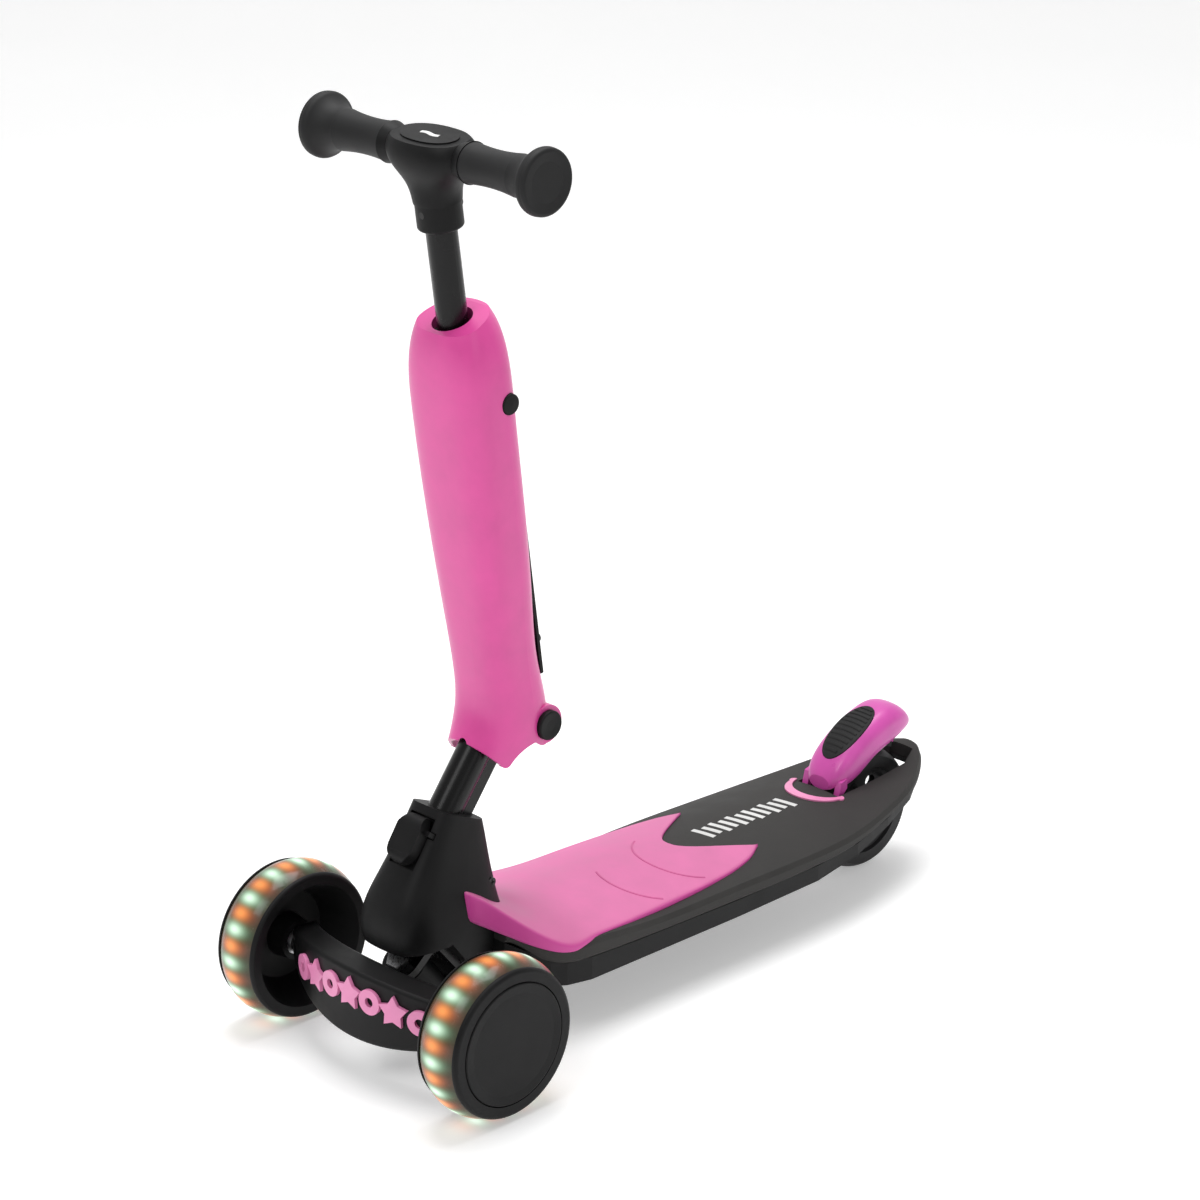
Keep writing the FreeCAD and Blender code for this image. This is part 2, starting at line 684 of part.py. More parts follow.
def grip():
    """Rubber grip that flares like a trumpet into its round end."""
    return lathe((40.3, BAR_R), [
        (40.3, 14.2), ((64, 13.0), (86, 14.8)), ((98, 17.4), (103.5, 21.8)),
        ((106, 23.2), (109, 23)), ((111.4, 22.2), (GRIP_END, 20)), (111.2, 14), (111.2, 0),
        (107, 0), (107, BAR_R)])


def save_handlebar():
    tube = sleeve(TUBE_R, TUBE_BORE_R, (0, 0, 85), (0, 0, 398))
    for height in range(183, 284, 25):
        tube = tube.cut(rod_x(3.2, -20, 0, 0, height))
    tube = tube.cut(rod(2.5, (0, -20, 372), (0, 20, 372)))
    save("handlebar_tube", placed(tube, CASE_FRAME))
    plug = rod(TUBE_BORE_R, (0, 0, 85), (0, 0, 97)).cut(rod(6, (0, 0, 88), (0, 0, 100)))
    save("tube_end_plug", placed(plug, CASE_FRAME))
    save("t_head", placed(t_head(), CASE_FRAME))
    save("t_head_cap", placed(t_head_cap(), CASE_FRAME))
    bolt = rod(2.5, (0, -16.1, 372), (0, 16.3, 372)).fuse(rod(4.2, (0, 16.3, 372), (0, 18.6, 372)))
    save("t_head_bolt", placed(bolt, CASE_FRAME))
    bar = sleeve_x(BAR_R, BAR_R - 1.5, -106.5, 106.5, 0, BAR_HEIGHT)
    save("crossbar", placed(bar, CASE_FRAME))
    for side in ("left", "right"):
        piece = grip() if side == "left" else mirrored(grip())
        piece.translate(Vector(0, 0, BAR_HEIGHT))
        save("grip_" + side, placed(piece, CASE_FRAME))


# ---------------------------------------------------------------- deck
DECK_SECTIONS = (
    # Y, half width, edge height, crown height, split height, bottom height
    (72, 44, 98, 112, 84, 60),
    (88, 56, 88.5, 104, 74, 51),
    (100, 63, 81.5, 98.5, 66, 47),
    (113, 67, 77, 94.5, 62, 44.5),
    (135, 70, 76, 88.5, 61, 43),
    (180, 70, 72, 84, 59, 43),
    (290, 70, 70, 82, 57, 43),
    (380, 69, 69, 81, 57, 44),
    (430, 65, 70, 80, 59, 49),
    (475, 56, 74, 81, 64, 57),
    (515, 44, 79.5, 84.5, 69, 64),
    (540, 30, 84.5, 88, 74.5, 70.5),
    (553, 19.5, 87.5, 89.5, 79, 76),
    (TAIL_END, 10, 89, 90.5, 81, 78.5),
)


def deck_loop(y, half, low, edge, crown):
    """Section of the deck: flat below, a bevel at each side and a bowed top."""
    points = [(-half + 3, low), (half - 3, low), (half, low + 3), (half, edge - 4),
              (half - 2, edge), (-half + 2, edge), (-half, edge - 4), (-half, low + 3)]
    lift = [Vector(x, y, z) for x, z in points]
    edges = []
    for index in range(len(lift)):
        start = lift[index]
        end = lift[(index + 1) % len(lift)]
        if index == 4:
            edges.append(Part.Arc(start, Vector(0, y, crown), end).toShape())
        else:
            edges.append(Part.makeLine(start, end))
    return Part.Wire(edges)


def deck_top(inset, raised=0, deeper=0):
    loops = []
    for y, half, edge, crown, split, bottom in DECK_SECTIONS:
        half_here = max(half - inset, 3.6)
        edge_here = edge - inset + raised
        crown_here = crown - inset + raised
        loops.append(deck_loop(y, half_here, split - deeper, edge_here, crown_here))
    return Part.makeLoft(loops, True, False)


def chassis_volume(inset, thickness=None):
    """Band under the deck, set in from its edge; or only its top few millimetres."""
    loops = []
    for y, half, edge, crown, split, bottom in DECK_SECTIONS:
        half_here = max(half - 2.2 - inset, 3.4)
        low = split - thickness if thickness else bottom
        points = [(-half_here, low), (half_here, low), (half_here, split), (-half_here, split)]
        loops.append(Part.makePolygon([Vector(x, y, z) for x, z in points + points[:1]]))
    return Part.makeLoft(loops, True, True)


def rear_slot(grow=0):
    """Opening for the rear wheel and brake; it narrows towards the tail."""
    half = SLOT_HALF + grow
    narrow = SLOT_REAR_HALF + grow
    front = SLOT_FRONT - grow
    rear = SLOT_REAR + grow
    return slab_z((-half, front), [
        (half, front), (half, SLOT_TURN), (narrow, rear), (-narrow, rear), (-half, SLOT_TURN)], 0, 200)


def brake_arm_room():
    """Room under the deck's skin for the brake's arms and spring."""
    return block((-20.4, 20.4), (SLOT_FRONT - 19, SLOT_FRONT + 5), (0, 76.6))


def wheel_room():
    return rod_x(REAR_WHEEL_R + 3, -16, 16, REAR_AXLE_Y, REAR_WHEEL_R)


def deck_shell(housing):
    shell = deck_top(0).cut(deck_top(3.5, 0, 10).common(block((-100, 100), (100, 544), (0, 200))))
    shell = shell.cut(rear_slot())
    lips = rear_slot(3).cut(rear_slot()).common(deck_top(0.2))
    shell = shell.fuse(lips).cut(housing)
    return shell.cut(brake_arm_room()).cut(wheel_room())


def chassis_ribs():
    ribs = []
    for y in range(130, 440, 44):
        ribs.append(block((-100, 100), (y - 1.25, y + 1.25), (0, 200)))
    for x in (-44, -22, 22, 44):
        ribs.append(block((x - 1.25, x + 1.25), (100, 440), (0, 200)))
    return joined(ribs).common(chassis_volume(2)).cut(block((-100, 100), (0, 600), (0, 47)))


def rear_forks():
    """Two cheeks that hang from the deck and hold the rear axle."""
    forks = []
    for hand in (1, -1):
        low, high = sorted((hand * 16, hand * 20.5))
        forks.append(slab_x((REAR_AXLE_Y - 31, 66), [
            (REAR_AXLE_Y - 17, 48), ((REAR_AXLE_Y, 38), (REAR_AXLE_Y + 17, 48)),
            (REAR_AXLE_Y + 31, 74), (REAR_AXLE_Y - 31, 74)], low, high))
    return forks


def deck_chassis(housing, shell):
    band = chassis_volume(0).cut(chassis_volume(3).common(block((-100, 100), (100, 545), (0, 200))))
    floor = chassis_volume(1.5, 3).common(block((-100, 100), (99, 546), (0, 200)))
    body = joined([band, floor, chassis_ribs()] + screw_bosses())
    body = body.cut(rear_slot(-1)).cut(brake_arm_room())
    for shape in deck_screws():
        body = body.cut(shape)
    walls = rear_slot(2).cut(rear_slot(-1)).common(chassis_volume(1))
    bosses = []
    y, z = BRAKE_PIVOT
    for hand in (1, -1):
        low, high = sorted((hand * 20.5, hand * 25))
        bosses.append(block((low, high), (SLOT_FRONT - 19, SLOT_FRONT + 3), (56, 74)))
    body = joined([body, walls] + rear_forks() + bosses)
    body = body.cut(rod_x(AXLE_R, -60, 60, REAR_AXLE_Y, REAR_WHEEL_R))
    body = body.cut(rod_x(BRAKE_PIN_R, -24, 24, y, z))
    return body.cut(wheel_room()).cut(housing).cut(shell)


def pad_plan():
    """Pad seen from above: full sides that draw in, and a forked tail."""
    return slab_z((-80, 30), [
        (80, 30), (80, 100), (70, 112), ((67.2, 145), (63.6, 188)), (60.5, 250),
        ((54, 305), (41, 338)), ((20, 300), (0, 281)), ((-20, 300), (-41, 338)),
        ((-54, 305), (-60.5, 250)), (-63.6, 188), ((-67.2, 145), (-70, 112)), (-80, 100)], 0, 200)


PAD_SECTIONS = (
    # Y, half width, lower edge, edge height, crown height
    (44, 33.5, 107, 130, 132.5),
    (58, 39.5, 98.5, 120, 125.5),
    (72, 48.5, 90, 107.5, 116),
    (88, 59.5, 80.5, 93.8, 107),
    (100, 66, 75, 85.5, 101.5),
    (113, 69.6, 71, 79.8, 97.2),
    (135, 71, 66, 78.5, 91),
    (180, 71, 62, 74.5, 86.5),
    (290, 71, 60, 72.5, 84.5),
    (380, 71, 60, 71.5, 83.5),
)


def deck_pad(housing):
    """Soft pad on the front half of the deck; its nose wraps round the head and over the front."""
    loops = [deck_loop(y, half, low, edge, crown) for y, half, low, edge, crown in PAD_SECTIONS]
    outside = Part.makeLoft(loops, True, True)
    return outside.common(pad_plan()).cut(deck_top(0)).cut(housing)


def smile_arc(low, high):
    return slab_z((-26, 447), [
        ((0, 425), (26, 447)), ((28, 451), (24, 453)), ((0, 433), (-24, 453)), ((-28, 451), (-26, 447))],
        low, high)


SCREW_BOSS_R = 5.0
DECK_SCREWS = [(x, y) for y in (152, 240, 328, 416) for x in (-33, 33)]


def screw_bosses():
    """Posts under the chassis floor; each takes a screw up into the deck."""
    posts = [rod(SCREW_BOSS_R, (x, y, 50.2), (x, y, 57.7)) for x, y in DECK_SCREWS]
    return posts


def deck_screws():
    flip = Rotation(X_AXIS, 180)
    return [screw(Placement(Vector(x, y, 50.2), flip), length=5) for x, y in DECK_SCREWS]


def save_deck():
    housing = head_housing()
    shell = deck_shell(housing)
    chassis = deck_chassis(housing, shell)
    save("deck_shell", shell)
    save("deck_chassis", chassis)
    save("deck_pad", deck_pad(housing))
    arc = deck_top(0, 1.2).common(smile_arc(0, 200)).cut(deck_top(0))
    save("deck_smile", arc)
    save("deck_screws", *deck_screws())


# ---------------------------------------------------------------- rear wheel and brake
def save_rear_wheel():
    centre = Vector(0, REAR_AXLE_Y, REAR_WHEEL_R)
    half = REAR_WHEEL_HALF
    tyre = lathe((-half, 36), [
        (-half, 45), ((0, REAR_WHEEL_R), (half, 45)), (half, 36), (9.5, 35), (-9.5, 35)])
    core = lathe((-9.4, 32), [
        (-9.4, 34.9), (9.4, 34.9), (9.4, 32), (3, 30), (3, 15), (9.4, 14), (9.4, BEARING_R),
        (-9.4, BEARING_R), (-9.4, 14), (-3, 15), (-3, 30)])
    for index in range(6):
        angle = math.radians(60 * index)
        core = core.cut(rod_x(5.5, -10, 10, 22.5 * math.cos(angle), 22.5 * math.sin(angle)))
    pieces = {
        "rear_tyre": [tyre],
        "rear_core": [core],
        "rear_bearings": [bearing(-9.4), bearing(9.4 - BEARING_WIDTH)],
        "rear_spacers": [sleeve_x(6, AXLE_R, 9.9, 16), sleeve_x(6, AXLE_R, -16, -9.9)],
        "rear_axle_bolt": [rod_x(AXLE_R, -27, 20.5).fuse(rod_x(6.8, 20.5, 24))],
        "rear_axle_nut": [placed(hexagon(13, 0, 5.5), Placement(Vector(-26, 0, 0), Rotation(Y_AXIS, 90)))
                          .cut(rod_x(AXLE_R, -40, 0))],
    }
    for name, shapes in pieces.items():
        for shape in shapes:
            shape.translate(centre)
        save(name, *shapes)


BRAKE_SECTIONS = (
    # Y, half width, low, high, squareness
    (452.5, 10, 79, 90, 2.2),
    (457, 15.5, 77.5, 98, 2.4),
    (465, 19, 78, 107, 2.6),
    (479, 20, 82, 118, 2.8),
    (496, 20, 92, 127, 2.8),
    (512, 20, 99, 132, 2.8),
    (528, 19, 104, 133, 2.6),
    (539, 16, 108, 127, 2.4),
    (546, 10.5, 111, 119, 2.2),
)


def brake_volume(inset):
    loops = []
    for y, half, low, high, squareness in BRAKE_SECTIONS:
        depth = (high - low) / 2
        loop = power_loop(half - inset, depth - inset, depth - inset, squareness, 0)
        frame = Placement(Vector(0, y, low + depth), Rotation(X_AXIS, 90))
        loops.append(placed(loop, frame))
    return Part.makeLoft(loops, True, False)


def brake_fender():
    tunnel = rod_x(REAR_WHEEL_R + 4.5, -16, 16, REAR_AXLE_Y, REAR_WHEEL_R)
    cavity = slab_x((466, 70), [
        (470, 100), (481, 112), (498, 121), (514, 126), (528, 127), (537, 120), (540, 100), (540, 70)],
        -15.8, 15.8)
    web = slab_x((472, 95), [(481, 114), (498, 123), (514, 128), (530, 128), (539, 118), (539, 95)],
                 -1.25, 1.25).cut(tunnel)
    arms = []
    y, z = BRAKE_PIVOT
    for hand in (1, -1):
        low, high = sorted((hand * 14, hand * 19.6))
        arm = slab_x((y - 6, z), [((y, z - 6), (y + 6, z - 2)), (464, 82), (464, 90), (457, 88),
                                  (454, 76), (y + 1, 75.8), ((y - 4, 73.5), (y - 6, z))], low, high)
        arms.append(arm)
    fender = brake_volume(0).cut(tunnel).cut(cavity)
    for piece in [web] + arms:
        fender = fender.fuse(piece)
    fender = fender.cut(rod_x(BRAKE_PIN_R + RUN_GAP, -30, 30, y, z))
    return fender.cut(brake_pad_blank(0))


def brake_pad_blank(grow):
    """Oval tread set into the top of the brake."""
    loop = power_loop(14 + grow, 29 + grow, 29 + grow, 2.2, 0)
    plug = Part.Face(loop).extrude(Vector(0, 0, 40))
    plug = placed(plug, Placement(Vector(0, 490, 107), Rotation(X_AXIS, 22)))
    skin = brake_volume(-1.0).cut(brake_volume(1.5))
    return plug.common(skin)


def brake_shoe():
    """Block under the brake that rubs on the tyre."""
    reach = REAR_WHEEL_R + 4
    ring = sleeve_x(reach + 6, reach, -10, 10, REAR_AXLE_Y, REAR_WHEEL_R)
    return ring.common(block((-10, 10), (502, 527), (60, 140)))


def save_brake():
    y, z = BRAKE_PIVOT
    shoe = brake_shoe()
    save("brake_fender", brake_fender().cut(shoe))
    save("brake_tread", brake_pad_blank(-0.2))
    save("brake_shoe", shoe)
    save("brake_pin", rod_x(BRAKE_PIN_R, -24, 24, y, z))
    coil = placed(coil_spring(4.3, 1.2, 15, 8), Placement(Vector(-7.5, y, z), Rotation(Y_AXIS, 90)))
    save("brake_spring", coil)


def main():
    os.makedirs("parts", exist_ok=True)
    for name in os.listdir("parts"):
        if name.endswith(".step"):
            os.remove(os.path.join("parts", name))
    save_front_wheels()
    save_front_axle()
    save_stem()
    save_seat()
    save_handlebar()
    save_deck()
    save_rear_wheel()
    save_brake()


main()
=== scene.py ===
import json
import math

import bmesh
import bpy
import numpy as np
from mathutils import Matrix, Vector
from mathutils.bvhtree import BVHTree


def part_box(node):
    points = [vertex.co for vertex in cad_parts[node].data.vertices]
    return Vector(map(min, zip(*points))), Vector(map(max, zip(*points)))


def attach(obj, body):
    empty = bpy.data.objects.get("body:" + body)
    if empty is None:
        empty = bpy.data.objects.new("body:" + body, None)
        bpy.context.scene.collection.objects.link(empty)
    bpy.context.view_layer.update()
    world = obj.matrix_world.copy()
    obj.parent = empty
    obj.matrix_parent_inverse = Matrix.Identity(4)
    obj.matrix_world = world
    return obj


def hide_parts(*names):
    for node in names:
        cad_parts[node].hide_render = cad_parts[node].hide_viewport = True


# A toddler's three-wheeled kick scooter whose casing folds down into a seat.
# Pieces are drawn in millimetres from the floor under the front axle
# (+X rider's left, -Y forward, +Z up) and written in metres in the frame.

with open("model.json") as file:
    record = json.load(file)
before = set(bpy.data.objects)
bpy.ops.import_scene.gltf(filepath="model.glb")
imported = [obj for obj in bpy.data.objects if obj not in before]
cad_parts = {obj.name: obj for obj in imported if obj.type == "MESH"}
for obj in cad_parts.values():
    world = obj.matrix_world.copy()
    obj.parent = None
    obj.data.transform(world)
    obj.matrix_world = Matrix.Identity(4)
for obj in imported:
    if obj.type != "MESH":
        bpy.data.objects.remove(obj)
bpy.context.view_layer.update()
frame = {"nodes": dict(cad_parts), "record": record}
MM = 0.001


def middle(node):
    """Middle of a node's box, in the frame's place but in millimetres."""
    low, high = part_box(node)
    return (low + high) / (2 * MM)


AXLE = middle("front_left_tyre")
TO_ROW = Matrix.Translation(Vector((0, AXLE.y, 0)))


# ---------------------------------------------------------------- node materials
def node_tree(name):
    mat = bpy.data.materials.new(name)
    mat.use_nodes = True
    tree = mat.node_tree
    shader = tree.nodes["Principled BSDF"]
    return mat, tree, shader


def object_place(tree):
    return tree.nodes.new("ShaderNodeTexCoord").outputs["Object"]


def rgba(colour, gain=1.0):
    return tuple(min(1.0, c * gain) for c in colour) + (1.0,)


def ramp(tree, source, stops):
    node = tree.nodes.new("ShaderNodeValToRGB")
    elements = node.color_ramp.elements
    while len(elements) < len(stops):
        elements.new(0.5)
    for element, (place, colour) in zip(elements, stops):
        element.position = place
        element.color = colour
    tree.links.new(source, node.inputs["Fac"])
    return node.outputs["Color"]


def spread(tree, source, low, high, start=0.3, end=0.7):
    """Maps start..end of the source onto low..high."""
    node = tree.nodes.new("ShaderNodeMapRange")
    node.inputs["From Min"].default_value = start
    node.inputs["From Max"].default_value = end
    node.inputs["To Min"].default_value = low
    node.inputs["To Max"].default_value = high
    tree.links.new(source, node.inputs["Value"])
    return node.outputs["Result"]


def noise(tree, where, scale, detail=2.0, rough=0.5):
    node = tree.nodes.new("ShaderNodeTexNoise")
    node.inputs["Scale"].default_value = scale
    node.inputs["Detail"].default_value = detail
    node.inputs["Roughness"].default_value = rough
    tree.links.new(where, node.inputs["Vector"])
    return node.outputs["Fac"]


def bump(tree, source, depth, strength=0.6):
    node = tree.nodes.new("ShaderNodeBump")
    node.inputs["Distance"].default_value = depth
    node.inputs["Strength"].default_value = strength
    tree.links.new(source, node.inputs["Height"])
    return node.outputs["Normal"]


COAT_ROUGHNESS = 0.18


def moulded(name, colour, rough, grain=1400.0, depth=0.00004, coat=0.0, shift=0.08, specular=0.5):
    """Moulded plastic or rubber: uneven colour, uneven gloss and a fine eroded grain."""
    mat, tree, shader = node_tree(name)
    where = object_place(tree)
    cloud = noise(tree, where, 35.0, 3.0, 0.55)
    stops = [(0.3, rgba(colour, 1 - shift)), (0.5, rgba(colour)), (0.7, rgba(colour, 1 + shift))]
    tree.links.new(ramp(tree, cloud, stops), shader.inputs["Base Color"])
    tree.links.new(spread(tree, cloud, rough - 0.06, rough + 0.06), shader.inputs["Roughness"])
    fine = noise(tree, where, grain, 2.0, 0.6)
    tree.links.new(bump(tree, fine, depth), shader.inputs["Normal"])
    shader.inputs["Coat Weight"].default_value = coat
    shader.inputs["Coat Roughness"].default_value = COAT_ROUGHNESS
    shader.inputs["Specular IOR Level"].default_value = specular
    return mat


def metal(name, colour, rough, stretch=(600, 600, 40)):
    """Drawn or turned metal: streaks along one way in its gloss and height."""
    mat, tree, shader = node_tree(name)
    where = object_place(tree)
    scale = tree.nodes.new("ShaderNodeMapping")
    scale.inputs["Scale"].default_value = stretch
    tree.links.new(where, scale.inputs["Vector"])
    streak = noise(tree, scale.outputs["Vector"], 1.0, 4.0, 0.6)
    cloud = noise(tree, where, 60.0, 2.0)
    tone = ramp(tree, cloud, [(0.3, rgba(colour, 0.88)), (0.7, rgba(colour, 1.08))])
    tree.links.new(tone, shader.inputs["Base Color"])
    tree.links.new(spread(tree, streak, rough - 0.07, rough + 0.09), shader.inputs["Roughness"])
    tree.links.new(bump(tree, streak, 0.00002, 0.4), shader.inputs["Normal"])
    shader.inputs["Metallic"].default_value = 1.0
    return mat


LOOKS = {
    "pink_gloss": moulded("casing_pink", (0.76, 0.07, 0.345), 0.34, grain=1800, depth=0.00002,
                          coat=0.25, shift=0.05),
    "pink_soft": moulded("pad_pink", (0.76, 0.19, 0.42), 0.5, grain=900, depth=0.00006, shift=0.05),
    "pink_trim": moulded("trim_pink", (0.86, 0.27, 0.52), 0.35, depth=0.00002, coat=0.3),
    "magenta_plastic": moulded("brake_magenta", (0.66, 0.085, 0.42), 0.33, depth=0.00002, coat=0.2),
    "black_plastic": moulded("body_black", (0.0055, 0.0055, 0.0058), 0.5, shift=0.2, specular=0.2),
    "deck_plastic": moulded("deck_charcoal", (0.034, 0.0325, 0.031), 0.66, grain=700, depth=0.00012,
                            shift=0.14, specular=0.3),
    "inner_nylon": moulded("inner_nylon", (0.02, 0.02, 0.021), 0.55, specular=0.3),
    "black_rubber": moulded("grip_rubber", (0.0125, 0.0125, 0.013), 0.62, grain=1100, depth=0.00007,
                            shift=0.18, specular=0.3),
    "clear_tread": moulded("tread", (0.2, 0.2, 0.18), 0.3),
    "rear_tread": moulded("rear_tread", (0.018, 0.018, 0.019), 0.55, specular=0.3),
    "black_steel": moulded("powder_coat", (0.003, 0.003, 0.0032), 0.27, grain=2200, depth=0.00002,
                           coat=0.08, shift=0.2, specular=0.25),
    "cast_aluminium": metal("cast_aluminium", (0.35, 0.35, 0.36), 0.45, stretch=(300, 300, 300)),
    "bright_steel": metal("zinc_steel", (0.6, 0.6, 0.61), 0.3),
    "black_screws": metal("black_screws", (0.05, 0.05, 0.05), 0.4),
    "magnet": metal("magnet_nickel", (0.45, 0.45, 0.46), 0.25),
    "lamp_board": moulded("lamp_board", (0.04, 0.2, 0.09), 0.4),
}


# ---------------------------------------------------------------- mesh tools
def make(name, verts, faces, smooth=40):
    """Mesh object from points in millimetres, drawn from the floor under the front axle."""
    mesh = bpy.data.meshes.new(name)
    points = [(TO_ROW @ Vector(v)) * MM for v in verts]
    mesh.from_pydata(points, [], faces)
    mesh.validate()
    obj = bpy.data.objects.new(name, mesh)
    bpy.context.scene.collection.objects.link(obj)
    tidy_mesh(obj, smooth)
    return obj


def tidy_mesh(obj, smooth):
    """Welds doubled points, turns faces outwards and shades smooth up to an angle."""
    build = bmesh.new()
    build.from_mesh(obj.data)
    bmesh.ops.remove_doubles(build, verts=build.verts, dist=1e-7)
    bmesh.ops.recalc_face_normals(build, faces=build.faces)
    build.to_mesh(obj.data)
    build.free()
    obj.data.shade_smooth()
    obj.data.set_sharp_from_angle(angle=math.radians(smooth))


def paint(obj, material):
    obj.data.materials.clear()
    obj.data.materials.append(material)


def finish_piece(obj, body, nodes, look):
    paint(obj, look)
    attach(obj, body)
    if nodes:
        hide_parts(*nodes)
    return obj


# ---------------------------------------------------------------- CAD nodes that stay
for part in frame["record"]["subparts"]:
    paint(frame["nodes"][part["node"]], LOOKS[part["material_slot"]])

# ---------------------------------------------------------------- lit tread
LAMPS = 15              # pairs of lamps round each front wheel
LAMP_PITCH = 2 * math.pi / LAMPS

DARK_TREAD = ((0.014, 0.013, 0.008, 1), (0.03, 0.024, 0.015, 1))
CLEAR_BODY = ((0.02, 0.02, 0.016, 1), (0.04, 0.037, 0.03, 1))
# Each glow: colour, place in a lamp pitch, reach round the wheel in pitches, reach across in metres.
GLOWS = (
    ((0.42, 0.06, 0.012, 1), 0.5, 0.28, 0.0095),    # red flare round the amber lamp
    ((0.04, 0.24, 0.07, 1), 0.0, 0.27, 0.0095),     # green halo round the mint lamp
    ((0.85, 0.29, 0.07, 1), 0.5, 0.18, 0.0066),     # amber lamp
    ((0.72, 0.95, 0.76, 1), 0.0, 0.17, 0.0072),     # mint lamp
)
GLOW_STRENGTH = 1.25


def reckon(tree, operation, first, second=None):
    node = tree.nodes.new("ShaderNodeMath")
    node.operation = operation
    for index, value in enumerate((first, second)):
        if value is None:
            continue
        if isinstance(value, (int, float)):
            node.inputs[index].default_value = value
        else:
            tree.links.new(value, node.inputs[index])
    return node.outputs[0]


def lamp_glow(tree, angle, across, phase, round_reach, side_reach):
    """Soft spot repeated round the wheel, from the angle in turns of the lamp pitch."""
    part = reckon(tree, "FRACT", reckon(tree, "ADD", angle, phase))
    from_lamp = reckon(tree, "ABSOLUTE", reckon(tree, "SUBTRACT", part, 0.5))
    off = reckon(tree, "DIVIDE", from_lamp, round_reach)
    side = reckon(tree, "DIVIDE", across, side_reach)
    far = reckon(tree, "ADD", reckon(tree, "POWER", off, 2.0), reckon(tree, "POWER", side, 2.0))
    return reckon(tree, "EXPONENT", reckon(tree, "MULTIPLY", far, -1.0))


def blend_colours(tree, share, first, second):
    node = tree.nodes.new("ShaderNodeMix")
    node.data_type = "RGBA"
    tree.links.new(share, node.inputs["Factor"])
    for value, socket in ((first, node.inputs[6]), (second, node.inputs[7])):
        if isinstance(value, tuple):
            socket.default_value = value
        else:
            tree.links.new(value, socket)
    return node.outputs[2]


def lit_tread(name, centre):
    """Clear tread with mint and amber lamps glowing through it."""
    mat, tree, shader = node_tree(name)
    where = object_place(tree)
    from_hub = tree.nodes.new("ShaderNodeVectorMath")
    from_hub.operation = "SUBTRACT"
    tree.links.new(where, from_hub.inputs[0])
    from_hub.inputs[1].default_value = centre * MM
    split = tree.nodes.new("ShaderNodeSeparateXYZ")
    tree.links.new(from_hub.outputs[0], split.inputs[0])
    turn = reckon(tree, "ARCTAN2", split.outputs["Z"], split.outputs["Y"])
    angle = reckon(tree, "ADD", reckon(tree, "DIVIDE", turn, LAMP_PITCH), LAMPS)
    across = reckon(tree, "ABSOLUTE", split.outputs["X"])
    cloud = noise(tree, where, 120.0, 3.0, 0.6)
    glow = ramp(tree, cloud, [(0.3, DARK_TREAD[0]), (0.7, DARK_TREAD[1])])
    for colour, phase, round_reach, side_reach in GLOWS:
        spot = lamp_glow(tree, angle, across, phase, round_reach, side_reach)
        glow = blend_colours(tree, spot, glow, colour)
    tree.links.new(glow, shader.inputs["Emission Color"])
    shader.inputs["Emission Strength"].default_value = GLOW_STRENGTH
    tree.links.new(blend_colours(tree, cloud, *CLEAR_BODY), shader.inputs["Base Color"])
    tree.links.new(spread(tree, cloud, 0.16, 0.3), shader.inputs["Roughness"])
    tree.links.new(bump(tree, noise(tree, where, 500.0, 2.0), 0.00005), shader.inputs["Normal"])
    shader.inputs["Coat Weight"].default_value = 0.12
    shader.inputs["Specular IOR Level"].default_value = 0.25
    return mat


for side in ("left", "right"):
    tyre = "front_" + side + "_tyre"
    paint(frame["nodes"][tyre], lit_tread("lit_tread_" + side, middle(tyre)))


# ---------------------------------------------------------------- deck pad
PAD_SECTIONS = (
    # Y, half width, lower edge, edge height, crown height
    (44, 33.5, 107, 130, 132.5),
    (58, 39.5, 98.5, 120, 125.5),
    (72, 48.5, 90, 107.5, 116),
    (88, 59.5, 80.5, 93.8, 107),
    (100, 66, 75, 85.5, 101.5),
    (113, 69.4, 71, 79.8, 97.2),
    (135, 71, 66, 78.5, 91),
    (180, 71, 62, 74.5, 86.5),
    (235, 71, 61, 73.5, 85.5),
    (290, 71, 60, 72.5, 84.5),
    (345, 71, 60, 71.9, 83.9),
)
# Y, half width of the pad's outline, and of the notch in its back end
PAD_SIDE = ((44, 33.5), (58, 39.5), (72, 48.5), (88, 59.5), (100, 66), (113, 69.4), (145, 67.2), (188, 63.6),
            (230, 61.5), (270, 58.8), (305, 54), (325, 48), (338, 41))
PAD_NOTCH = ((281, 0.0), (282, 4.0), (284, 7.6), (288, 12.0), (294, 16.6), (302, 21.6), (314, 28.2),
             (326, 34.6), (338, 41.0))
PAD_STEP = 2.5          # the pad stands this far above the deck
RIM = ((2.0, 0.0), (1.1, 0.22), (0.45, 0.65), (0.1, 1.2), (0.0, 1.9))   # inwards, down
TOP_STEPS = 25          # steps across half of the pad's top
FRONT_ROUND = [(44.0, 3.2), (44.4, 2.1), (45.2, 1.2), (46.5, 0.5), (48.0, 0.12)]    # Y, drawn in
PAD_TIPS = [(337.2, 0.0), (337.9, 0.0)]


def smooth_rows(rows, at):
    """Cubic through the rows of a table, read at one value of its first column."""
    table = np.array(rows, dtype=float)
    knots = table[:, 0]
    values = table[:, 1:]
    slopes = np.gradient(values, knots, axis=0)
    index = int(np.clip(np.searchsorted(knots, at) - 1, 0, len(knots) - 2))
    length = knots[index + 1] - knots[index]
    t = min(max((at - knots[index]) / length, 0.0), 1.0)
    square, cube = t * t, t * t * t
    return ((2 * cube - 3 * square + 1) * values[index] + (cube - 2 * square + t) * length * slopes[index]
            + (3 * square - 2 * cube) * values[index + 1] + (cube - square) * length * slopes[index + 1])


def pad_top(x, y):
    half, _, edge, crown = smooth_rows(PAD_SECTIONS, y)
    return edge + (crown - edge) * (1 - (x / (half - 2)) ** 2)


